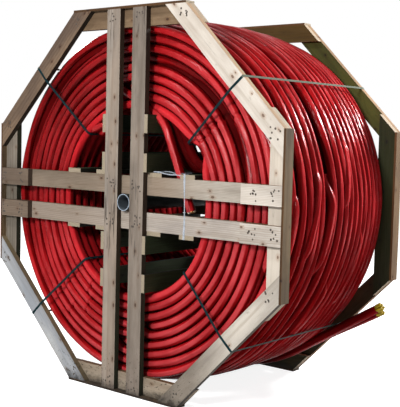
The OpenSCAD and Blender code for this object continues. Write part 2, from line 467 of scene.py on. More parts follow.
def sheath(name, deep, bright, bleach_and_sheen, gloss, shine, crinkle=0.0):
    """Red polyethylene sheath: drawn lengthwise, scuffed and dusty. Its crests are pink, partly
    from bleaching and partly a painted highlight, and the gaps between turns and the sides away
    from the light get painted shade."""
    m = Shader(name)
    uv = m.node("UVMap", {"uv_map": "UVMap"}).outputs[0]
    at = m.position()
    x, y, height = m.xyz(at)
    toward_upper_left = m.math("SUBTRACT", height, x)
    outward, sideways, at_face = turn_facings(m, at, y)
    lengthwise = m.stretched_noise(uv, (5, 700, 1), 3)
    scuffs = m.stretched_noise(uv, (26, 260, 1), 5, 0.65)
    patches = m.noise(at, 4.5, 3)
    dust = m.noise(at, 30, 4, 0.6)

    # Pink on the crests: partly bleaching, partly a painted highlight, stronger to the lower
    # right of the faces and higher up on the crown
    face_crest = m.times(m.band(sideways, 0.66, 1.0), m.band(toward_upper_left, 0.85, -0.85, 0.25, 1.5))
    crown_crest = m.times(m.band(outward, 0.84, 1.0, 0, 0.6),
                          m.band(height, -0.55, 0.15, 0.1, 1.0))
    worn = m.times(m.most(face_crest, crown_crest),
                   m.band(patches, 0.3, 0.62, 0.45 * bleach_and_sheen, bleach_and_sheen))
    # Painted shade down in the gaps between turns
    buried = m.band(m.most(sideways, outward), 0.92, 0.30, 0, 0.72)
    # Painted shade on the crown's top and bottom and on the upper left of the faces
    above_or_below = m.most(m.band(height, 0.10, -0.35), m.band(height, 0.55, 0.88))
    shaded = m.most(m.times(m.band(outward, 0.3, 0.6), above_or_below),
                    m.times(at_face, m.band(toward_upper_left, 0.45, 1.1)))

    colour = m.mix(m.band(patches, 0.35, 0.65), linear(deep), linear(bright))
    colour = m.paint(colour, m.band(lengthwise, 0.3, 0.8, 0, 0.3), bright)
    # crests: bleaching and painted highlight
    colour = m.paint(colour, worn, SHEATH_BLEACHED_SHEEN)
    colour = m.paint(colour, m.band(scuffs, 0.66, 0.80, 0, 0.30), SHEATH_SCUFF)
    colour = m.paint(colour, m.band(dust, 0.55, 0.8, 0, 0.05), SHEATH_DUST)
    # painted shade in the gaps, then on the top, bottom and upper left
    colour = m.glaze(colour, buried, SHEATH_GAP_SHADE)
    colour = m.glaze(colour, shaded, SHEATH_IN_SHADE)
    rough = m.band(m.plus(scuffs, m.times(dust, 0.5)), 0.6, 1.05, gloss, gloss + 0.14)

    bumps = m.bump(m.stretched_noise(uv, (5, 40, 1)), 0.0009)
    if crinkle:
        bumps = m.bump(m.stretched_noise(uv, (17, 75, 1)), crinkle, bumps)
    bumps = m.bump(lengthwise, 0.00010, bumps)
    bumps = m.bump(scuffs, 0.00008, bumps)
    m.set(Base_Color=colour, Roughness=rough, Normal=bumps)
    m.set(Specular_IOR_Level=m.band(height, -0.45, 0.15, shine * 0.15, shine))
    return m.set(IOR=1.45, Specular_Tint=(1.0, 0.8, 0.8, 1))


def knots(m, log):
    """Knots and the halo of bent grain round each."""
    cells = m.node("TexVoronoi", {"voronoi_dimensions": "2D"},
                   Vector=m.stretch(log, KNOT_CELLS), Scale=1.0)
    chosen, how_big, _ = m.node("SeparateColor", Color=cells.outputs["Color"]).outputs
    near = m.math("SUBTRACT", cells.outputs["Distance"], m.times(how_big, 0.05))
    has = m.band(chosen, 0.66, 0.69)
    return m.times(m.band(near, 0.05, 0.02), has), m.times(m.band(near, 0.20, 0.05), has)


def late_wood(m, log, width, depth, halo, seed):
    """The dark part of each year ring, round a pith that lies outside the plank."""
    bend = m.math("SUBTRACT", m.stretched_noise(log, (1.1, 4, 4)), 0.5)
    wave = m.math("SUBTRACT", m.stretched_noise(log, (5, 14, 14)), 0.5)
    shift = m.plus(m.times(bend, 0.055), m.times(wave, 0.006))
    shift = m.plus(shift, m.times(halo, 0.006))
    a = m.plus(m.plus(width, 0.03 * math.sin(seed * 5)), shift)
    b = m.plus(depth, PITH_DEPTH + 0.05 * math.sin(seed * 3))
    radius = m.plus(m.hypot(a, b), m.times(a, 0.7))
    ring = m.math("FRACT", m.math("DIVIDE", radius, RING_STEP))
    return m.times(m.band(ring, 0.30, 0.9), m.band(ring, 1.0, 0.92))


def scars(m, log, height):
    """Gashes where an upright is knocked: beside the hub and at its top."""
    by_hub = m.band(m.absolute(m.plus(height, -HUB_MARKS_Z)), 0.34, 0.10)
    gash = m.stretched_noise(log, (6, 80, 80), 4, 0.65)
    return m.times(m.band(gash, 0.54, 0.63), m.most(by_hub, m.band(height, 0.76, 0.92)))


def floor_dirt(m, log, height, grime):
    """A dark foot where the timber stands on the ground, with splashes above it."""
    specks = m.stretched_noise(log, (55, 95, 95), 3, 0.7)
    splashed = m.times(m.band(specks, 0.60, 0.655),
                       m.band(height, FLOOR_Z + 0.32, FLOOR_Z + 0.06))
    foot = m.band(m.plus(height, m.times(grime, 0.16)), FLOOR_Z + 0.15, FLOOR_Z + 0.07)
    return m.most(foot, splashed)


def timber(name, along, across, fresh, grey, edge, seed, olive=0.0, turned=None,
           stain=None, shade=None, cracks=FEW_CRACKS, scarred=False, ends=SAWN_ENDS):
    """A sawn softwood plank cut from a log, with knots, saw fibre, grey weathering, cracks and
    dirt, and painted shade or light on its narrow sides. along is the plank's direction, across
    that of its width."""
    m = Shader(name)
    at = m.position()
    x, _, height = m.xyz(at)
    place, facing = at, m.normal()
    if turned:
        place, facing = turned(m, place, at), turned(m, facing, at)
    thickness = tuple(Vector(along).cross(Vector(across)))
    length, width, depth = (m.dot(place, v) for v in (along, across, thickness))
    log = m.node("CombineXYZ", X=length, Y=width, Z=depth).outputs[0]
    log = m.stretch(log, (1, 1, 1), (seed * 3.7, seed * 0.61, seed * 0.37))
    knot, halo = knots(m, log)
    late = late_wood(m, log, width, depth, halo, seed)
    fibre = m.stretched_noise(log, (9, 420, 420), 3)
    streak = m.stretched_noise(log, (1.4, 38, 38), 3)
    blotch = m.stretched_noise(log, (1.7, 5, 5), 4, 0.6)
    grime = m.stretched_noise(log, (12, 24, 24), 5, 0.7)
    crack = m.stretched_noise(log, (2.4, 130, 130))
    cleft = m.times(m.band(crack, cracks, cracks + 0.035), m.band(blotch, 0.42, 0.60))

    colour = m.mix(m.band(blotch, 0.36, 0.66), linear(fresh), linear(grey))
    colour = m.glaze(colour, m.times(late, 0.26), WOOD_LATE)
    colour = m.glaze(colour, m.band(streak, 0.45, 0.75, 0, 0.35), WOOD_STREAK)
    colour = m.glaze(colour, m.band(fibre, 0.45, 0.7, 0, 0.2), WOOD_FIBRE)
    colour = m.glaze(colour, m.times(halo, 0.35), WOOD_HALO)
    colour = m.glaze(colour, m.times(knot, 0.75), WOOD_KNOT)
    colour = m.paint(colour, m.times(cleft, 0.75), WOOD_CRACK)
    if olive:
        # olive patches
        olive_patches = m.stretched_noise(log, (1.3, 9, 9), 3)
        colour = m.glaze(colour, m.band(olive_patches, 0.25, 0.7, olive * 0.5, olive), WOOD_OLIVE)
    colour = m.paint(colour, m.band(grime, 0.63, 0.76, 0, 0.5), WOOD_GRIME)
    edge_colour = linear(edge)
    if scarred:
        colour = m.paint(colour, m.times(scars(m, log, height), 0.75), WOOD_SCAR)
        # Painted green reflection on the uprights' narrow sides, lower down
        edge_colour = m.paint(edge_colour, m.band(height, -0.1, -0.7), WOOD_GREEN_REFLECTION)
    # The narrow sides are multiplied by a colour of their own: painted shade, or painted light
    # where that colour is pale
    side_shading = m.band(m.absolute(m.dot(facing, across)), 0.6, 0.8, 0, 0.95)
    colour = m.mix(side_shading, colour, edge_colour, "MULTIPLY")
    cut_end = m.band(m.absolute(m.dot(facing, along)), 0.6, 0.75, 0, 0.7)
    colour = m.mix(cut_end, colour, m.mix(late, linear(ends[0]), linear(ends[1])))
    # Painted shade on the faces that look towards -Y, in towards the coil on the rear flange
    if shade:
        colour = m.glaze(colour, m.band(m.dot(facing, Y), -0.3, -0.7), shade)
    # darker towards the left
    if stain:
        tint, from_x, to_x = stain
        colour = m.glaze(colour, m.band(x, from_x, to_x), tint)
    colour = m.paint(colour, m.times(floor_dirt(m, log, height, grime), 0.9), WOOD_MUD)

    normal = m.bump(fibre, 0.0006)
    normal = m.bump(late, 0.0004, normal)
    normal = m.bump(grime, 0.0006, normal, 0.6)
    normal = m.bump(m.math("SUBTRACT", 1.0, cleft), 0.0015, normal)
    m.set(Base_Color=colour, Roughness=m.band(fibre, 0.3, 0.7, 0.66, 0.88), Normal=normal)
    return m.set(Specular_IOR_Level=0.22)


def crossways(m, vector, at):
    """The edge boards along the top and bottom turn their grain with them."""
    x, y, z = m.xyz(vector)
    flat = m.math("GREATER_THAN", m.absolute(m.xyz(at)["Z"]), HALF_SIDE + 0.3)
    return m.mix(flat, vector, m.node("CombineXYZ", X=z, Y=y, Z=x).outputs[0])


def plastic(name, base, other, rough, scale, height, spec=0.5, alpha=1.0):
    """Also serves for nail heads and film."""
    m = Shader(name)
    at = m.position()
    cloud = m.noise(at, scale, 3)
    fine = m.noise(at, scale * 9, 4, 0.6)
    colour = m.mix(m.band(cloud, 0.35, 0.7), linear(base), linear(other))
    m.set(Base_Color=colour, Roughness=m.band(fine, 0.3, 0.7, rough - 0.08, rough + 0.12))
    return m.set(Normal=m.bump(fine, height), Specular_IOR_Level=spec, Alpha=alpha)


def pipe(name):
    """Hub tube: dark green outside, grey inside, and pale where it is sawn off."""
    m = Shader(name)
    at = m.position()
    x, _, z = m.xyz(at)
    wall = NODES[name].dimensions.x / 2 - 0.002
    sawn = m.absolute(m.xyz(m.normal())["Y"])
    cloud = m.noise(at, 26, 4, 0.6)
    fine = m.noise(at, 400, 3, 0.6)
    colour = m.mix(cloud, linear("#3a4046"), linear("#565d63"))
    colour = m.paint(colour, m.band(m.hypot(x, z), wall - 0.001, wall + 0.001), "#141c18")
    colour = m.paint(colour, m.band(sawn, 0.5, 0.8), "#8b97a3")
    m.set(Base_Color=colour, Roughness=m.band(cloud, 0.3, 0.7, 0.38, 0.55))
    return m.set(Normal=m.bump(fine, 0.0002), Specular_IOR_Level=0.3)


def strapping(name):
    """Embossed teal strap, paler on its runs over the outside of the coil and most of all up
    top: partly bleaching, partly painted light from above.
    """
    m = Shader(name)
    at = m.position()
    x, y, z = m.xyz(at)
    radius = m.hypot(x, z)
    cloud = m.noise(at, 35, 3)
    # Paler outside and up top: partly bleaching, partly painted light from above
    top_light_and_bleach = m.times(m.band(radius, 0.984, 0.988), m.band(z, -0.1, 0.3, 0.12, 0.8))
    colour = m.mix(m.band(cloud, 0.35, 0.7), linear("#0a1e21"), linear("#122c30"))
    colour = m.paint(colour, top_light_and_bleach, "#62675a")
    one_way, other_way = (
        m.math("SINE", m.times(m.math(way, radius, y), TAU / EMBOSS_STEP))
        for way in ("ADD", "SUBTRACT")
    )
    m.set(Base_Color=colour, Roughness=m.band(cloud, 0.3, 0.7, 0.5, 0.65))
    return m.set(Normal=m.bump(m.times(one_way, other_way), 0.0003), Specular_IOR_Level=0.03)


# ---------------- coil

def crest(s):
    """Outer radius of the coil across its width, s from -1 at the front to 1."""
    drop = np.where(s < 0, FRONT_DROP, REAR_DROP)
    return CROWN_R - drop * np.abs(s) ** CROWN_POWER


def turn_radius(y):
    """Radius of the middle of an even outermost turn."""
    return crest(y / HALF_Y) - DUCT_R


def sag(phi):
    """The turns hang a little low under the hub."""
    return SAG * ease(-np.sin(phi))


def spread(phi, count, first, last, least, weights):
    """Places of count turns side by side, at least so far apart, with the room that
    is left shared between them by weight."""
    room = (last - first) - least * (count - 1)
    steps = least + room * weights / weights.sum(axis=0)
    return first + np.vstack([np.zeros(len(phi)), np.cumsum(steps, axis=0)])


# Wide partings between outer turns: gap, weight there, weight all round, the angles
PARTINGS = ((6, 34, 4, (-22, 70)), (2, 14, 1.5, (-6, 40)))
PARTED_TURNS = [6, 7]
ENDS_LIE = (-128, -40)
ENDS_SINK = (-196, -152)


def outer_tracks(phi):
    """Places and radii of the outermost layer's turns at each angle."""
    rng = np.random.default_rng(OUTER_SEED)
    weights = np.exp(0.85 * ripples(rng, TURNS - 1, phi, 1.0, (1, 2, 3, 4)))
    for gap, there, all_round, angles in PARTINGS:
        weights[gap] += there * plateau(phi, *angles, 30) + all_round
    weights[11] += 3 * bump(phi, 75, 30)
    lie, sink = plateau(phi, *ENDS_LIE, 14), plateau(phi, *ENDS_SINK, 14)
    for gap in END_GAPS:
        weights[gap] = weights[gap] * (1 - lie) + 1.2 * lie + 60 * sink
    y = spread(phi, TURNS, FIRST_Y, HALF_Y, LEAST, weights)
    r = turn_radius(y) + ripples(rng, TURNS, phi, 0.0016, (2, 3, 5, 7))
    r += sag(phi)
    slack = 0.25 + 1.5 * plateau(phi, 12, 46, 12)
    y[1:-1] += slack * ripples(rng, TURNS - 2, phi, 0.0024, (13, 19, 27, 36))
    r -= slack * np.abs(ripples(rng, TURNS, phi, 0.0022, (14, 21, 30)))
    r[PARTED_TURNS] -= 0.007 * plateau(phi, -10, 60, 30)
    r = np.minimum(r, CROWN_R - DUCT_R + 0.004)
    return y, r


OUTER_CROSSES = math.radians(-27)
OUTER_ARC = math.radians(64) / TAU
OUTER_RINGS = 176
OUTER_LEAD = 0.06
OUTER_START_IN = 0.050


def make_outer(material):
    """The outermost layer as one helix that goes under at both ends."""
    u = np.arange(0, TURNS * OUTER_RINGS + 1) / OUTER_RINGS
    phi = OUTER_CROSSES + TAU * u
    y, r = outer_tracks(phi)
    starts = ease((OUTER_LEAD - u) / OUTER_LEAD)
    finishes = ease((u - (TURNS - OUTER_LEAD)) / OUTER_LEAD)
    path_y = along_tracks(u, y, OUTER_ARC) + OUTER_START_IN * starts
    path_r = along_tracks(u, r, OUTER_ARC) - DIVE * (starts + finishes)
    builder = Builder()
    duct(builder, round_points(phi, path_r, path_y), 0.7, SNUG)
    return builder.build("coil_outer_turns", material)


# Turns that lie deeper than the front face: turn, how deep, middle and width in degrees
HOLLOWS = (
    (5, 0.050, 38, 36),
    (5, 0.020, 120, 60),
    (2, 0.012, 170, 60),
    (7, 0.030, 140, 55),
    (6, 0.012, 150, 45),
)


def face_tracks(phi, side):
    """Radii and places of the turns that show on the coil's front (-1) or rear (1)."""
    rng = np.random.default_rng(FACE_SEED[side])
    outer = float(crest(np.array(float(side)))) - DUCT_R
    weights = np.exp(0.8 * ripples(rng, LAYERS - 1, phi, 1.0, (1, 2, 3)))
    r = spread(phi, LAYERS, INNER_TURN_R, outer, LEAST, weights)
    inward = 0.002 + np.abs(ripples(rng, LAYERS, phi, 0.007, (1, 2)))
    if side < 0:
        for turn, deep, middle_deg, width_deg in HOLLOWS:
            inward[turn] += deep * bump(phi, middle_deg, width_deg)
    return r, side * (HALF_Y - inward)


def nicks(number):
    """Angles of the nicks in a turn of the front face."""
    return 37.5 - 1.3 * (number % 3), 221.0 + 1.6 * (number % 2), 241.0 - 3.7 * (number % 3)


def pinched(phi, places):
    """Size of a duct that old straps have nicked: a neck with a slight swelling after."""
    size = np.ones(len(phi))
    for place in places:
        size -= 0.24 * bump(phi, place, 0.6)
        size += 0.10 * bump(phi, place - 1.7, 0.9)
    return size


def closer(u, places):
    """Adds rings round some places of every turn."""
    extra = [
        turn + place + offset / 360
        for place in places
        for turn in range(5)
        for offset in np.arange(-4.4, 2.6, 0.4)
    ]
    extra = [value for value in extra if u[0] < value < u[-1]]
    return np.unique(np.round(np.concatenate([u, extra]), 5))


FACE_RINGS = 180
FACE_LEAD = 0.04
FACE_ARC = 10 / 360
FACE_SHIFT = 4 / 360
FACE_DIVE = 0.050


def make_face(name, side, pairs, single, material):
    """Pairs of layers that meet at a flange: the duct comes up from behind, goes round
    once, climbs to the next layer, goes round again and dives behind. The single layer
    meets the outermost or innermost one, which has turns of its own."""
    builder = Builder()
    for low, at_deg in pairs:
        first, last = (1 - FACE_LEAD) * FACE_RINGS, (3 + FACE_LEAD) * FACE_RINGS
        u = np.arange(first, last + 1) / FACE_RINGS
        if side < 0:
            u = closer(u, [(place - at_deg) / 360 for place in nicks(low)])
        phi = math.radians(at_deg) + TAU * u
        r, y = face_tracks(phi, side)
        deep = side * (HALF_Y - FACE_DIVE) + 0 * phi
        shifts = [0, FACE_SHIFT, 0, -FACE_SHIFT]
        path_r = along_tracks(u, [r[low], r[low], r[low + 1], r[low + 1]], FACE_ARC, shifts)
        path_y = along_tracks(u, [deep, y[low], y[low + 1], deep], FACE_ARC, shifts)
        size = SNUG * pinched(phi, nicks(low)) if side < 0 else SNUG
        duct(builder, round_points(phi, path_r + sag(phi), path_y), 1.3 * low, size)
    phi = circle(240)
    r, y = face_tracks(phi, side)
    path = round_points(phi, r[single] + sag(phi), y[single])
    duct(builder, path, 0.6, SNUG, closed=True)
    return builder.build(name, material)


BORE_CROSSES = math.radians(82)
BORE_ARC = math.radians(40) / TAU
BORE_RINGS = 100
BORE_LEAD = 0.05


def make_bore(material):
    """The innermost layer as one helix, tucked away where the inner end leaves it."""
    u = np.arange(0, TURNS * BORE_RINGS + 1) / BORE_RINGS
    phi = BORE_CROSSES + TAU * u
    rng = np.random.default_rng(BORE_SEED)
    weights = np.exp(0.8 * ripples(rng, TURNS - 1, phi, 1.0, (1, 2, 3)))
    y = spread(phi, TURNS, FIRST_Y + 0.002, HALF_Y, LEAST, weights)
    r = INNER_TURN_R + 0.001 + np.abs(ripples(rng, TURNS, phi, 0.002)) + sag(phi)
    tucked = 0.030 * (bump(phi, 32, 8) * ease((1.4 - u) / 0.2))
    path_y = along_tracks(u, y, BORE_ARC) + tucked
    path_r = along_tracks(u, r, BORE_ARC)
    path_r += DIVE * ease((u - (TURNS - BORE_LEAD)) / BORE_LEAD)
    path_r += tucked
    builder = Builder()
    duct(builder, round_points(phi, path_r, path_y), 2.0, sides=20)
    return builder.build("coil_bore_turns", material)


SLACK_TURNS = (
    ((0.165, -0.407, 0.510), (0.212, -0.407, 0.462), (0.265, -0.410, 0.397),
     (0.315, -0.412, 0.325), (0.343, -0.414, 0.270), (0.385, -0.415, 0.222),
     (0.435, -0.415, 0.195), (0.480, -0.412, 0.155), (0.512, -0.407, 0.090),
     (0.537, -0.400, 0.030)),
    ((0.160, -0.400, 0.510), (0.195, -0.400, 0.472), (0.228, -0.400, 0.400),
     (0.262, -0.395, 0.325), (0.292, -0.385, 0.260), (0.325, -0.368, 0.207),
     (0.375, -0.360, 0.187), (0.450, -0.360, 0.187), (0.505, -0.360, 0.110),
     (0.532, -0.355, 0.050)),
    ((0.160, -0.360, 0.512), (0.190, -0.360, 0.462), (0.196, -0.358, 0.400),
     (0.200, -0.350, 0.330), (0.210, -0.340, 0.260), (0.240, -0.325, 0.207),
     (0.300, -0.314, 0.187), (0.420, -0.310, 0.187), (0.495, -0.310, 0.130),
     (0.530, -0.310, 0.060)),
    ((0.165, -0.330, 0.512), (0.215, -0.330, 0.452), (0.245, -0.328, 0.380),
     (0.262, -0.325, 0.315), (0.283, -0.324, 0.264), (0.320, -0.324, 0.238),
     (0.370, -0.324, 0.239), (0.420, -0.325, 0.226), (0.468, -0.330, 0.186),
     (0.508, -0.330, 0.120), (0.534, -0.330, 0.050)),
)
KINKED_TURN = (
    (-0.351, -0.445, 0.377), (-0.327, -0.452, 0.376), (-0.303, -0.457, 0.381),
    (-0.278, -0.459, 0.389), (-0.254, -0.458, 0.398), (-0.243, -0.450, 0.388),
    (-0.247, -0.441, 0.374), (-0.268, -0.432, 0.362), (-0.293, -0.424, 0.361),
    (-0.322, -0.414, 0.370), (-0.348, -0.405, 0.380),
)


def make_slack(material):
    """Turns of the innermost layer that hang slack beside the inner end."""
    builder = Builder()
    for number, points in enumerate(SLACK_TURNS):
        duct(builder, smooth_path(points, 9), 1.7 * number, sides=20)
    return builder.build("coil_slack_turns", material)


def make_kink(material):
    """A turn of the bore that has sprung out beside the innermost one and is folded."""
    path = smooth_path(KINKED_TURN, 8)
    place = np.linspace(0, 1, len(path))
    fold = np.exp(-((place - 0.48) / 0.09) ** 2)
    builder = Builder()
    duct(builder, path, 1.0, 0.94 - 0.17 * fold)
    return builder.build("coil_kinked_turn", material)


HIDDEN_SIDES = 12
HIDDEN_DEPTH = 0.044
FILL_DEPTH = 0.040
FILL_ENDS_IN = 0.05
FILL_INNER_R = INNER_TURN_R + 0.03


def make_hidden(material):
    """The turns one row in, seen only through the gaps, and what lies behind them."""
    builder = Builder()
    phi = circle(96)
    y, r = outer_tracks(phi)
    for i in range(TURNS - 1):
        mid_y = (y[i] + y[i + 1]) / 2
        wide = np.maximum(y[i + 1] - y[i] - TURN_STEP, 0)
        mid_r = (r[i] + r[i + 1]) / 2 - HIDDEN_DEPTH - 0.9 * wide
        path = round_points(phi, mid_r, mid_y)
        duct(builder, path, 0.9 * i, sides=HIDDEN_SIDES, closed=True)
    for side in (-1, 1):
        r, _ = face_tracks(phi, side)
        mid_y = side * (HALF_Y - HIDDEN_DEPTH) + 0 * phi
        for k in range(LAYERS - 1):
            path = round_points(phi, (r[k] + r[k + 1]) / 2, mid_y)
            duct(builder, path, 0.5 * k, sides=HIDDEN_SIDES, closed=True)
    ys = np.linspace(FIRST_Y + FILL_ENDS_IN, HALF_Y - FILL_ENDS_IN, 9)
    outer = crest(ys / HALF_Y) - 2 * DUCT_R - FILL_DEPTH
    profile = [(FILL_INNER_R, ys[0]), *zip(outer, ys), (FILL_INNER_R, ys[-1])]
    rings = np.array([
        [(r * math.cos(a), y, r * math.sin(a)) for r, y in profile] for a in circle(72)
    ])
    builder.grid(rings, np.zeros(rings.shape[:2] + (2,)), closed=True)
    return builder.build("coil_hidden_turns", material)


# ---------------- loose turns

RIDERS = (
    ((13, -0.185), (-15, -0.250), 0.012),
    ((6, -0.065), (-18, -0.122), 0.009),
    ((6, -0.352), (-20, -0.388), 0.011),
    ((22, 0.110), (0, 0.055), 0.008),
    ((-22, 0.030), (-50, -0.048), 0.008),
    ((-6, 0.240), (-34, 0.186), 0.007),
)
RIDER_DEPTH = 0.040


def make_riders(material):
    """Turns that climb out of the layer, cross over their neighbours and sink again:
    (angle, place) where each comes up, (angle, place) where it goes down, height."""
    builder = Builder()
    for number, ((from_deg, from_y), (to_deg, to_y), height) in enumerate(RIDERS):
        t = np.linspace(-0.22, 1.22, 64)
        phi = np.radians(from_deg + (to_deg - from_deg) * t)
        y = from_y + (to_y - from_y) * ease(t * 0.9 + 0.05)
        up = ease((t + 0.2) / 0.4) * ease((1.2 - t) / 0.4)
        r = turn_radius(y) - RIDER_DEPTH + (RIDER_DEPTH + height) * up
        duct(builder, round_points(phi, r, y), 1.1 * number)
    return builder.build("coil_crossing_turns", material)


def valley(i):
    """Radius and place of a duct in the valley between regular turns i and i + 1."""
    y = np.array([FIRST_Y + i * TURN_STEP, FIRST_Y + (i + 1) * TURN_STEP])
    r = turn_radius(y)
    half = np.array([r[1] - r[0], y[1] - y[0]]) / 2
    reach = np.linalg.norm(half)
    height = math.sqrt(TOUCHING ** 2 - reach ** 2)
    return r[0] + half[0] + height * half[1] / reach, y[0] + half[1] - height * half[0] / reach


def leaving(number):
    """Where an outer end leaves the coil, which way it runs, and which way is out."""
    phi = END_LEAVES[number]
    r, y = valley(END_GAPS[number])
    out = np.array([math.cos(phi), 0, math.sin(phi)])
    return r * out + [0, y, 0], np.array([-out[2], 0, out[0]]), out


def make_outer_ends(material):
    """The two ends sink back into the coil between the turns that they lie on."""
    builder = Builder()
    for number in range(2):
        leave, i = END_LEAVES[number], END_GAPS[number]
        r_leave, y_leave = valley(i)
        phi = np.radians(np.arange(-214, math.degrees(leave), 2.0))
        y, r = outer_tracks(phi)
        half = np.hypot(y[i + 1] - y[i], r[i + 1] - r[i]) / 2
        lift = np.sqrt(np.maximum(TOUCHING ** 2 - half ** 2, 0))
        settle = ease((phi - leave) / math.radians(20) + 1)
        under = 0.047 * ease((math.radians(-186) - phi) / math.radians(20))
        path_y = (y[i] + y[i + 1]) / 2 * (1 - settle) + y_leave * settle
        path_r = ((r[i] + r[i + 1]) / 2 + lift - under) * (1 - settle) + r_leave * settle
        start, ahead, _ = leaving(number)
        run = np.arange(0, END_LENGTH, 0.03)
        run = np.append(run[:-1], END_LENGTH)
        straight = start + run[:, None] * ahead
        path = np.concatenate([round_points(phi, path_r, path_y), straight])
        duct(builder, path, 2.2 * number)
    return builder.build("outer_ends", material)


def seven(ahead, out, ring_r):
    """Offsets of the middle and of six places round it."""
    side = np.cross(ahead, out)
    yield np.zeros(3)
    for k in range(6):
        angle = k * TAU / 6
        yield ring_r * (math.cos(angle) * np.array(out) + math.sin(angle) * side)


def make_end_caps(material):
    rng = np.random.default_rng(CAPS_SEED)
    builder = Builder()
    r = CAP_D / 2
    for number in range(2):
        start, ahead, out = leaving(number)
        for offset in seven(ahead, out, CAP_RING_R):
            top = CAP_L - rng.uniform(0, 0.009)
            profile = (
                (-0.004, r * 0.70), (0.002, r * 0.70), (0.002, r), (0.007, r),
                (0.008, r * 0.93), (top - 0.006, r * 0.90), (top - 0.002, r * 0.78),
                (top, r * 0.5),
            )
            lathe(builder, start + END_LENGTH * ahead + offset, ahead, out, profile)
    return builder.build("outer_end_caps_detail", material, 35)


JOINS_TURN = math.radians(93)
BEND_START = 0.43
BEND_PULL = 0.10


def make_inner_end(material):
    """Runs up out of the bore, bends sharply and becomes the innermost turn."""
    up = np.array([-math.sin(INNER_LEAN), 0, math.cos(INNER_LEAN)])
    start = np.array(INNER_END)
    cos, sin = math.cos(JOINS_TURN), math.sin(JOINS_TURN)
    turn = np.array([-sin, 0, cos])
    end = np.array([INNER_TURN_R * cos, FIRST_Y + 0.003, INNER_TURN_R * sin])
    bend = start + BEND_START * up
    straight = start + np.linspace(0, BEND_START, 26)[:-1, None] * up
    curve = curve_through((bend, bend + BEND_PULL * up, end - BEND_PULL * turn, end), 24)
    builder = Builder()
    duct(builder, np.concatenate([straight, curve]), 0.4)
    return builder.build("inner_end", material)


def make_microducts(material):
    """The cut ends of the seven microducts in the inner end."""
    down = np.array([math.sin(INNER_LEAN), 0, -math.cos(INNER_LEAN)])
    out = np.array([math.cos(INNER_LEAN), 0, math.sin(INNER_LEAN)])
    builder = Builder()
    r = CAP_D / 2 * 0.92
    for offset in seven(down, out, CAP_RING_R * 0.96):
        profile = ((-0.003, r), (0.005, r), (0.005, r * 0.72), (-0.002, r * 0.70))
        lathe(builder, np.array(INNER_END) + offset, down, out, profile, 14)
    return builder.build("inner_end_microducts", material, 35)


# ---------------- nails and band

def nail_places():
    """Groups of nails on a flange: middle, half spread, how many."""
    overlap = FLANGE_R - PLANK_W / 2
    corner = HALF_SIDE - 0.020
    for sx in (-1, 1):
        for sz in (-1, 1):
            yield (sx * corner, sz * overlap), (0.034, 0.030), 7
            yield (sx * overlap, sz * corner), (0.030, 0.034), 7
            yield (sx * PAIR_X, sz * PAIR_X), (0.032, 0.032), 9
            yield (sx * PAIR_X, sz * overlap), (0.030, 0.030), 5
            for along in (0.30, 0.85):
                x = FLANGE_R - END_BLOCK_L * (1 - along)
                yield (sx * x, sz * PAIR_X), (0.026, 0.030), 7


def make_nails(material):
    rng = np.random.default_rng(NAILS_SEED)
    builder = Builder()
    for face in (-1, 1):
        for middle, half, count in nail_places():
            for _ in range(count):
                x, z = np.array(middle) + rng.uniform(-1, 1, 2) * half
                r = NAIL_R * rng.uniform(0.8, 1.15)
                profile = ((-0.001, r), (0.0002, r), (0.0006, r * 0.8))
                centre = np.array([x, -face * FRONT_Y, z])
                lathe(builder, centre, (0, face, 0), X, profile, 10)
    return builder.build("nails", material, 35)


FILM_SIDES = 14


def rope(builder, rng, path, wide, half_wide, thick, half_thick):
    """Creased film gathered along a path, so far to either side in two directions."""
    n = len(path)
    wide, thick = (np.broadcast_to(np.array(v, float), (n, 3)) for v in (wide, thick))
    theta = circle(FILM_SIDES)
    drift = rng.normal(0, 0.2, (n, 1)).cumsum(0)
    creases = 1 + 0.16 * np.sin(3 * theta[None, :] + drift)
    rings = rings_round(path, wide, half_wide[:, None] * np.cos(theta) * creases,
                        thick, half_thick[:, None] * np.sin(theta) * creases)
    uv = np.stack([np.tile(np.arange(n)[:, None] * 0.005, (1, FILM_SIDES)),
                   np.tile(theta * 0.003, (n, 1))], axis=2)
    builder.capped(rings, uv)


def make_film(material):
    """Clear tie film: a creased rope round the inner end and a strip that hangs down."""
    rng = np.random.default_rng(FILM_SEED)
    low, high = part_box("tie_band")
    left, right = low.x - 0.040, high.x - 0.036
    z_loop = high.z - 0.005
    builder = Builder()
    t = np.linspace(0, 1, 70)
    front = np.stack([left + (right - left) * t, 0 * t + low.y + 0.0005,
                      z_loop - 0.012 * t + 0.002 * np.sin(9 * t)], axis=1)
    back = front * [1, 0, 1] + [0, high.y - 0.0005, 0]
    size = 0.0021 + 0.0009 * np.sin(7 * t) ** 2
    rope(builder, rng, front, Z, size * 1.2, Y, size * 0.8)
    rope(builder, rng, back, Z, size, Y, size * 0.4)
    s = np.linspace(0, 1, 22)
    for x in (left, right):
        path = np.stack([0 * s + x, low.y + (high.y - low.y) * s, 0 * s + z_loop], axis=1)
        rope(builder, rng, path, Z, 0 * s + 0.0026, X, 0 * s + 0.0010)
    s = np.linspace(0, 1, 80)
    strip = np.stack([0 * s + high.x - 0.010 + 0.003 * np.sin(5 * s), 0 * s + low.y,
                      low.z + (z_loop - low.z) * s], axis=1)
    turn = 0.35 * np.sin(8 * s)
    wide = np.stack([np.cos(turn), 0.1 * np.sin(turn), 0 * s], axis=1)
    rope(builder, rng, strip, wide, 0.0046 + 0.0018 * np.sin(7 * s + 1), Y, 0 * s + 0.0007)
    return builder.build("tie_film", material)


# ---------------- pieces

def dress(piece, nodes):
    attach(piece, "root")
    if nodes:
        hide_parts(*nodes)


duct_red = sheath("duct_sheath", "#890c10", "#a31319", 0.46, 0.22, 0.12, 0.0016)
duct_outer = sheath("duct_sheath_outer", "#8f0b10", "#aa1318", 0.40, 0.19, 0.085, 0.0036)
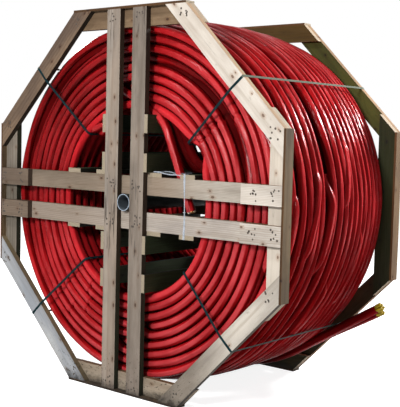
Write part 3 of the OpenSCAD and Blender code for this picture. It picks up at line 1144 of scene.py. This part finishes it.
# Painted light: the bore's sheath is a brighter copy of the same red
duct_inner_lit = sheath("duct_sheath_inner_lit", "#a2171d", "#ba1f26", 0.3, 0.6, 0.03)
# Painted shade: the slack turns get a darker copy of the same red
duct_slack_shaded = sheath("duct_sheath_slack_shaded", "#5a0709", "#6c090d", 0.1, 0.6, 0.02)
# Painted shade: the hidden turns and the fill behind them get a darker copy of the same red
duct_hidden_shaded = sheath("duct_sheath_hidden_shaded", "#550709", "#68090c", 0.1, 0.6, 0.02)
caps = plastic("duct_caps", "#a58c08", "#7c6a08", 0.45, 90, 0.0002, 0.2)
film = plastic("tie_film", "#c3cad4", "#a9b4bf", 0.22, 60, 0.0006, alpha=0.42)
nail_steel = plastic("nail_heads", "#211d1a", "#43321f", 0.5, 300, 0.0002)
tubes = plastic("microducts", "#c98a3a", "#b8b4a8", 0.4, 60, 0.0001)

for piece in (
    make_outer(duct_outer),
    make_riders(duct_outer),
    make_face("coil_front_turns", -1, ((1, 98), (3, 277), (5, 262)), 7, duct_red),
    make_face("coil_rear_turns", 1, ((2, 120), (4, 300), (6, 80)), 1, duct_red),
    make_bore(duct_inner_lit),
    make_slack(duct_slack_shaded),
    make_kink(duct_red),
    make_hidden(duct_hidden_shaded),
):
    dress(piece, ["duct_coil"])

dress(make_outer_ends(duct_red), ["outer_duct_ends"])
dress(make_end_caps(caps), ["outer_end_caps"])
dress(make_inner_end(duct_red), ["inner_duct_end"])
dress(make_microducts(tubes), [])
dress(make_film(film), ["tie_band"])
dress(make_nails(nail_steel), [])


# ---------------- kept nodes

H = math.sqrt(0.5)
FALLING, RISING = (H, 0, -H), (H, 0, H)
FALLING_PLANKS = ("diagonal_upper_right", "diagonal_lower_left")
STANDING_PLANKS = ("upright_left", "upright_right", "rim_left", "rim_right")

# Fresh and weathered colour of a timber node, and what its narrow sides are multiplied by:
# painted shade, less where those sides face the light, and a painted green reflection where the
# colour is green
# The paler planks on the right and the darker ones on the left and at the top are partly their
# own tone and partly painted light falling off to the left
TINTS = {
    "front_diagonal_upper_right": ("#c9c2b8", "#b3aa9f", "#cdb294"),
    "front_diagonal_upper_left": ("#705d4b", "#54453a", "#4a4a36"),
    "front_diagonal_lower_left": ("#abacad", "#8c9096", "#a48a5e"),
    "front_diagonal_lower_right": ("#c5beb3", "#a09990", "#4a4036"),
    "front_rim_right": ("#c9c0b3", "#b3a89b", "#523c26"),
    "front_rim_top": ("#7d6850", "#65523e", SIDE_SHADE),
    "front_rim_left": ("#857c70", "#6b645a", "#2d4322"),
    "front_rim_bottom": ("#a89a88", "#887b6b", SIDE_SHADE),
    "front_upright_left": ("#978a7d", "#7f766d", "#4c3512"),
    "front_upright_right": ("#8b8075", "#6c635a", "#503814"),
    "front_crossbar_upper": ("#aca499", "#8f887e", SIDE_SHADE),
    "front_crossbar_lower": ("#b0a89e", "#938b84", SIDE_SHADE),
    "front_end_blocks": ("#c2bab0", "#a19990", SIDE_SHADE),
    "front_edge_boards": ("#69573f", "#4e402f", "#c9a87c"),
    "rear_edge_boards": ("#745c41", "#5c4733", "#c9a87c"),
    "rear_diagonal_upper_right": ("#a3927c", "#857664", "#dcc09c"),
}
REAR_TINT = ("#a3927c", "#857664", "#a98660")
# The core boards are dark: painted shade of the bore, over a green tint
CORE_TINT_SHADED = ("#2c361f", "#27260f", SIDE_SHADE)

# Darker towards the left: colour, the x where it starts and the x where it is full
LEFTWARD_DARKENING = {
    "front_end_blocks": ("#93867b", 0.10, -0.10),
    "front_crossbar_upper": ("#c9bdb2", 0.62, 0.20),
    "front_crossbar_lower": ("#cbc2bb", 0.35, -0.45),
    "front_diagonal_lower_right": ("#b0aba6", 0.80, 0.45),
}

# Painted shade, tinted green or brown, on the rear flange's faces that look in towards the coil
REAR_SHADES = {
    "rear_diagonal_upper_right": "#768643",
    "rear_rim_right": "#38431e",
    "rear_rim_top": "#7b6835",
}
REAR_SHADE = "#4b4b2f"
# Dark end grain of the end blocks: partly its own tone, partly painted shade
BLOCK_ENDS_SHADED = ("#3d2618", "#24150d")


def grain(name):
    """Directions of a timber node's grain and of its width."""
    if "edge_boards" in name:
        return Z, Y
    if name.endswith(STANDING_PLANKS):
        return Z, X
    if "core_boards" in name:
        return Y, Z if name.endswith(("left", "right")) else X
    if name.endswith(FALLING_PLANKS):
        return FALLING, RISING
    if "diagonal" in name:
        return RISING, FALLING
    return X, Z


def wear(name):
    """How a timber node differs from a plain plank."""
    if "edge_boards" in name:
        return {"turned": crossways}
    options = {}
    if name.endswith(STANDING_PLANKS):
        options = {"cracks": MANY_CRACKS, "scarred": "upright" in name}
    elif "core_boards" in name:
        options = {"olive": 0.5}
    if name in LEFTWARD_DARKENING:
        options["stain"] = LEFTWARD_DARKENING[name]
    if name == "front_end_blocks":
        options["ends"] = BLOCK_ENDS_SHADED
    if name.startswith("rear_"):
        options["shade"] = REAR_SHADES.get(name, REAR_SHADE)
    return options


def wood(node, name, seed):
    """The node's timber material. Its edges are worn a little, too."""
    bevel = node.modifiers.new("worn edges", "BEVEL")
    bevel.width = WORN_EDGE
    bevel.segments = 1
    bevel.limit_method = "ANGLE"
    tint = CORE_TINT_SHADED if name.startswith("core_") else TINTS.get(name, REAR_TINT)
    return timber(name, *grain(name), *tint, seed, **wear(name))


for number, (name, node) in enumerate(sorted(NODES.items())):
    if node.hide_render:
        continue
    if name.startswith(("front_", "rear_", "core_")):
        made = wood(node, name, number * TIMBER_SEED_STEP)
    elif name == "hub_tube":
        made = pipe(name)
    else:
        made = strapping(name)
    node.data.materials.clear()
    node.data.materials.append(made)


# ---------------- stage

CAMERA_AT = (3.3739, -3.9708, 0.3666)
CAMERA_YAW, CAMERA_PITCH, CAMERA_ROLL = (math.radians(v) for v in (39.829, 4.327, 1.429))
CAMERA_LENS = 81.60

# Name, place, what it is aimed at, size across and power
LAMPS = (
    ("key", (1.0, -5.2, 2.0), (0, 0, 0), 0.9, 282),
    ("high", (-0.7, -2.9, 4.9), (0, -0.5, 0), 0.35, 150),
    ("left", (-5.0, 1.4, 2.4), (0, 0, 0), 1.4, 200),
    ("back", (2.9, 4.3, 2.9), (0.6, 0, 0.4), 1.5, 800),
)
SKY_LOW, SKY_HIGH = 0.05, 0.18
FLOOR_HALF = 30.0
FLOOR_GLOW = 0.88


def make_camera():
    data = bpy.data.cameras.new("camera")
    data.lens = CAMERA_LENS
    data.sensor_width = 36
    data.clip_end = 100
    camera = bpy.data.objects.new("camera", data)
    scene.collection.objects.link(camera)
    camera.matrix_world = (
        Matrix.Translation(CAMERA_AT)
        @ Matrix.Rotation(CAMERA_YAW, 4, "Z")
        @ Matrix.Rotation(math.pi / 2 - CAMERA_PITCH, 4, "X")
        @ Matrix.Rotation(CAMERA_ROLL, 4, "Z")
    )
    return camera


def softbox(name, at, aim, size, power):
    data = bpy.data.lights.new(name, "AREA")
    data.shape = "DISK"
    data.size = size
    data.energy = power
    lamp = bpy.data.objects.new(name, data)
    scene.collection.objects.link(lamp)
    lamp.location = at
    direction = Vector(aim) - Vector(at)
    lamp.rotation_mode = "QUATERNION"
    lamp.rotation_quaternion = direction.to_track_quat("-Z", "Y")


def make_world():
    """White where it is seen, a dim sky for light, brighter towards the top."""
    world = bpy.data.worlds.new("studio")
    scene.world = world
    world.use_nodes = True
    w = Graph(world.node_tree)
    background = w.tree.nodes["Background"]
    background.inputs["Color"].default_value = (1, 1, 1, 1)
    up = w.xyz(w.node("TexCoord").outputs["Generated"])["Z"]
    sky = w.band(up, -0.1, 0.7, SKY_LOW, SKY_HIGH)
    w.feed(background.inputs["Strength"], w.most(w.seen_straight(), sky))


def make_floor():
    """Pale floor that fades into the white background and keeps the shadow."""
    mesh = bpy.data.meshes.new("floor")
    corners = ((-1, -1), (1, -1), (1, 1), (-1, 1))
    points = [(x * FLOOR_HALF, y * FLOOR_HALF, FLOOR_Z) for x, y in corners]
    mesh.from_pydata(points, [], [(0, 1, 2, 3)])
    floor = bpy.data.objects.new("floor", mesh)
    scene.collection.objects.link(floor)
    m = Shader("floor")
    m.set(Base_Color=(0.5, 0.5, 0.5, 1), Roughness=0.9, Specular_IOR_Level=0.1)
    m.set(Emission_Color=(1, 1, 1, 1), Emission_Strength=m.times(m.seen_straight(), FLOOR_GLOW))
    mesh.materials.append(m.material)


scene = bpy.context.scene
scene.camera = make_camera()
scene.view_settings.view_transform = "Standard"
for lamp in LAMPS:
    softbox(*lamp)
make_world()
make_floor()
